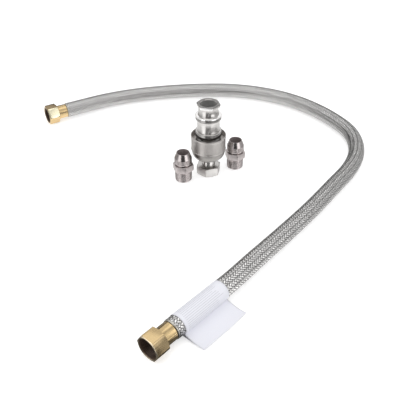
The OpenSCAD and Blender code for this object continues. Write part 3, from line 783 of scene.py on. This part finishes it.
outer = []
for i in range(BELL_STEPS + 1):
    r, z = bell_wall(90 / BELL_STEPS * i, 15.0, 11.2, 28.5, 15.5, 0.9)
    outer.append((r - RIPPLE if i % 2 else r, z))
inner = [bell_wall(90 - 90 / BELL_INNER_STEPS * i, 14.4, 8.0, 30.3, 13.7, 0.85)
         for i in range(BELL_INNER_STEPS + 1)]
bell = ([(13.4, 28.9), (13.8, 28.5)] + outer + [(JOINT_R, JOINT_Z), (JOINT_R, 49.7), (22.4, 49.7)]
        + inner + [(13.4, 30.3)])
piece = lathed("grip_bell", bell)
placed(piece, COUPLING)
# The bell wears the satin colours darkened, a painted shade.
dress(piece, machined("satin plated bell", SHADED, SHADED_DEEP, 0.30, UP, lines=0.20))
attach(piece, "sleeve")
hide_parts("sleeve_bell")


# ---------------------------------------------------------------------------
# Plug. The coupling's upper half, turned from steel and nickel plated: a nose with
# a groove for the balls, two collars with a waist between them, and a hexagon
# round the mouth of its pipe thread.
# A near-black and a near-white that paint reflections onto the plug, and the bore's colour,
# darkened as painted shade.
PAINTED_DARK_REFLECTION, PAINTED_HIGHLIGHT, PLUG_BORE = (0.04, 0.039, 0.039), (0.98, 0.97, 0.96), (0.26, 0.255, 0.25)
PLUG_FLATS, PLUG_CORNER, PLUG_TOP = 32, 32 / math.sqrt(3), 121.5
NOSE_R, GROOVE_R, NOSE_BORE_R, WATERWAY_R = 12.0, 10.4, 8, 10
LOWER_R, LOWER_TOP = 20.2, 77           # the lower collar
UPPER_R, UPPER_LOW, UPPER_TOP = 19.9, 95.8, 103.4
WAIST_R, PLUG_NECK_R = 17.4, 15.9
PLUG_PAINTED_LIGHT = (                          # painted reflections: the collars' walls and the mouth darker, the upper collar's top brighter
    (95.6, 101.4, 18.0, 0.50, PAINTED_DARK_REFLECTION, None), (101.4, 103.6, 16.1, 0.95, PAINTED_HIGHLIGHT, None),
    (71.0, 76.4, 18.5, 0.50, PAINTED_DARK_REFLECTION, None), (119.6, 121.6, 12.6, 0.55, PAINTED_DARK_REFLECTION, None),
    (116.2, 120.4, 14.8, 0.90, PAINTED_HIGHLIGHT, 240),     # and a painted highlight on one flat of the hexagon
)

plug = eased([(NOSE_BORE_R, 49), (10.7, 49), (NOSE_R, 50.6), (NOSE_R, 55), (GROOVE_R, 57),
              (GROOVE_R, 59), (NOSE_R, 61), (NOSE_R, 67.3), (19.4, 67.3), (LOWER_R, 68.1),
              (LOWER_R, 76.3), (19.5, LOWER_TOP), (WAIST_R, LOWER_TOP), (WAIST_R, UPPER_LOW),
              (19.0, UPPER_LOW), (UPPER_R, 96.7), (UPPER_R, 102.7), (19.2, UPPER_TOP),
              (PLUG_NECK_R, UPPER_TOP), (PLUG_NECK_R, 114.13), (PLUG_CORNER, 116.98),
              (PLUG_CORNER, 120.11), (16.08, PLUG_TOP), (13.45, PLUG_TOP)])
plug += rows(PIPE_R, 120.0, PIPE_R, 107.6)
plug += eased([(PIPE_R, 107.5), (WATERWAY_R, 105.5), (WATERWAY_R, 74), (NOSE_BORE_R, 70),
               (NOSE_BORE_R, 60)])
piece = lathed("coupling_plug", plug)
milled(piece, PLUG_FLATS, (116.98, 2.8), (120.11, 1.39), 0.904, 1.733, lean=0.13)
threaded(piece, 107.7, 119.9, (11.95, 12.15), 0.75)
placed(piece, COUPLING, (0, 0, math.radians(18)))
dress(piece, machined("plated plug", NICKEL, NICKEL_DEEP, 0.12, UP, lines=0.06,
                      flats=(114.2, 121.4, 14.8), drawn=0.05, matt=0.10,
                      bore=(13.2, 50.0, 120.2), painted_bore_shade=PLUG_BORE, painted_light=PLUG_PAINTED_LIGHT))
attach(piece, "plug")
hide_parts("plug_body")


# ---------------------------------------------------------------------------
# Flare-to-pipe adapters. Two alike, turned from plated steel hexagon bar: a tapered
# pipe thread below, a hexagon, a flare thread and a steep seat above, bored right
# through. They stand loose on their pipe ends.
# WARM_BORE is the bore's colour, darkened as painted shade.
WARM, WARM_DEEP, WARM_BORE = (0.60, 0.555, 0.55), (0.36, 0.32, 0.315), (0.32, 0.275, 0.272)
ADAPTER_FLATS, ADAPTER_CORNER = 28.6, 28.6 / math.sqrt(3)
ADAPTER_BORE_R, FLARE_R = 9.4, 13.5
HEX_LOW, HEX_TOP, ADAPTER_H = 18.2, 28.8, 49
ADAPTERS = (("left", (-18.9, 27.2), -41), ("right", (63.1, 64.7), -46))   # place, and turn

adapter = eased([(ADAPTER_BORE_R, 0), (11.45, 0), (12.8, 1.4)])[:-1]
adapter += rows(12.85, 1.6, 13.37, 16.6)
adapter += eased([(13.37, 16.6), (12.35, 17.4), (12.35, HEX_LOW), (ADAPTER_CORNER - 2.08, HEX_LOW),
                  (ADAPTER_CORNER, 19.4), (ADAPTER_CORNER, 27.6), (ADAPTER_CORNER - 2.08, HEX_TOP),
                  (12.3, HEX_TOP), (12.3, 30.6), (13.3, 31.4)])[1:]
adapter += rows(FLARE_R, 31.8, FLARE_R, 40.0)
adapter += eased([(FLARE_R, 40.0), (13.0, 40.6), (10.1, ADAPTER_H), (ADAPTER_BORE_R, ADAPTER_H),
                  (ADAPTER_BORE_R, 24)])[1:]
for side, (x, y), turn in ADAPTERS:
    piece = lathed(side + "_steel_adapter", adapter)
    milled(piece, ADAPTER_FLATS, (19.4, 1.2), (27.6, 1.2), inside=0.95)
    threaded(piece, 1.5, 16.7, (12.8, 13.45), -0.7)
    threaded(piece, 31.7, 40.1, (13.4, 13.6), -0.85)
    placed(piece, (x * MM, y * MM, 0), (0, 0, math.radians(turn)))
    dress(piece, machined(side + " plated adapter", WARM, WARM_DEEP, 0.15, UP, lines=0.12,
                          flats=(18.3, 28.7, 14.2), drawn=0.06, matt=0.14,
                          bore=(9.75, 1.0, 48.6), painted_bore_shade=WARM_BORE))
    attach(piece, side + "_adapter")
    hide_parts(side + "_adapter")


# ---------------------------------------------------------------------------
# Floor and light. A white table in a white room, with a soft box on each side of the
# camera and a broad one above. Reflections alone see the grey cards and ceiling round
# the table, and they see the table polished, so that the metal's shape reads.
FLOOR_SIZE, FLOOR_Z = 12, -0.0002       # just under the part, so that the two never coincide
TABLE_WHITE, TABLE_PALE = (0.80, 0.80, 0.80, 1), (0.82, 0.82, 0.82, 1)
TABLE_GLOW, METAL_GLOW = 0.55, 0.3      # added to what is seen, and to what metal reflects
POLISH_FROM, POLISH_RISE, POLISH_MOST = 0.27, 4, 0.9    # of the slant at which metal sees it
ROOM_LIGHT, ROOM_SHOWN = 0.6, 0.4       # what it lights with, and what it shows above that
AIM = Vector((0, 0.05, 0.05))
CARDS_AT, CARD_STEPS = 1.8, 12          # m from the middle

bpy.ops.mesh.primitive_plane_add(size=FLOOR_SIZE, location=(0, 0, FLOOR_Z))
floor = bpy.context.object
floor.name = "floor"
paint = Paint("white table")
grain = paint.noise(paint.location(), 9.0)
in_metal = paint.node("ShaderNodeLightPath", {}, {}, 3)
matt = paint.node("ShaderNodeBsdfDiffuse", {},
                  {"Color": paint.blend(grain, TABLE_WHITE, TABLE_PALE)})
added = paint.shown() * TABLE_GLOW + in_metal * METAL_GLOW
glow = paint.node("ShaderNodeEmission", {}, {"Color": (1, 1, 1, 1), "Strength": added})
plain = paint.node("ShaderNodeAddShader", {}, {0: matt, 1: glow})
mirror = paint.node("ShaderNodeBsdfAnisotropic", {}, {"Color": (1, 1, 1, 1), "Roughness": 0.12})
slant = paint.node("ShaderNodeLayerWeight", {}, {"Blend": 0.5}, 1)
polish = slant.sum("MAXIMUM", slant - POLISH_FROM, 0.0) * POLISH_RISE
polish = polish.sum("MINIMUM", polish, POLISH_MOST) * in_metal
dress(floor, paint.finish(paint.node("ShaderNodeMixShader", {}, {0: polish, 1: plain, 2: mirror})))

paint = Paint("white room", bpy.data.worlds)
sky = paint.node("ShaderNodeBackground", {},
                 {"Color": (1, 1, 1, 1), "Strength": paint.shown() * ROOM_SHOWN + ROOM_LIGHT})
bpy.context.scene.world = paint.finish(sky, "ShaderNodeOutputWorld")


def soft_box(name, azimuth, distance, height, width, tall, level):
    """A soft box that faces the middle of the table; azimuth 0 is the camera's side."""
    data = bpy.data.lights.new(name, "AREA")
    data.shape, data.size, data.size_y = "RECTANGLE", width, tall
    data.energy = level * math.pi * width * tall
    lamp = bpy.data.objects.new(name, data)
    turn = math.radians(azimuth)
    lamp.location = (distance * math.sin(turn), -distance * math.cos(turn), height)
    aim = AIM - lamp.location
    lamp.rotation_euler = aim.to_track_quat("-Z", "Y").to_euler()
    lamp.visible_camera = False
    bpy.context.scene.collection.objects.link(lamp)


soft_box("soft box left", -51, distance=0.80, height=0.31, width=0.60, tall=0.46, level=0.74)
soft_box("soft box right", 50, distance=0.78, height=0.31, width=0.57, tall=0.46, level=1.15)
soft_box("soft box above", 180, distance=0.08, height=1.25, width=1.3, tall=1.6, level=0.86)


def for_metal_alone(piece, grey):
    """Makes the piece an even grey that only reflections see."""
    paint = Paint(piece.name)
    glow = {"Color": (grey, grey, grey, 1), "Strength": 1.0}
    dress(piece, paint.finish(paint.node("ShaderNodeEmission", {}, glow)))
    piece.visible_camera = piece.visible_diffuse = piece.visible_shadow = False


def card(name, azimuth_from, azimuth_to, top, grey):
    """A curved card that stands on the floor, between two azimuths."""
    verts, faces = [], []
    for i in range(CARD_STEPS + 1):
        turn = math.radians(azimuth_from + (azimuth_to - azimuth_from) * i / CARD_STEPS)
        for z in (0.0, top):
            verts.append((CARDS_AT * math.sin(turn), -CARDS_AT * math.cos(turn), z))
    for i in range(CARD_STEPS):
        faces.append((2 * i, 2 * i + 2, 2 * i + 3, 2 * i + 1))
    mesh = bpy.data.meshes.new(name)
    mesh.from_pydata(verts, [], faces)
    piece = bpy.data.objects.new(name, mesh)
    bpy.context.scene.collection.objects.link(piece)
    for_metal_alone(piece, grey)


def flat_card(name, size, location, grey):
    bpy.ops.mesh.primitive_plane_add(size=size, location=location)
    piece = bpy.context.object
    piece.name = name
    for_metal_alone(piece, grey)


card("card front", -30, 30, top=1.6, grey=0.05)
card("card right", 58, 150, top=0.65, grey=0.55)
card("card low right", 30, 62, top=0.30, grey=0.10)
card("card back", 150, 210, top=0.65, grey=0.12)
card("card left", 210, 302, top=0.65, grey=0.40)
flat_card("dark card under the nut", 0.16, (NEAR_MOUTH.x + 0.012, NEAR_MOUTH.y + 0.012, 0.0006),
          grey=0.15)
flat_card("grey ceiling", 4.0, (0, 0, 2.1), grey=0.60)
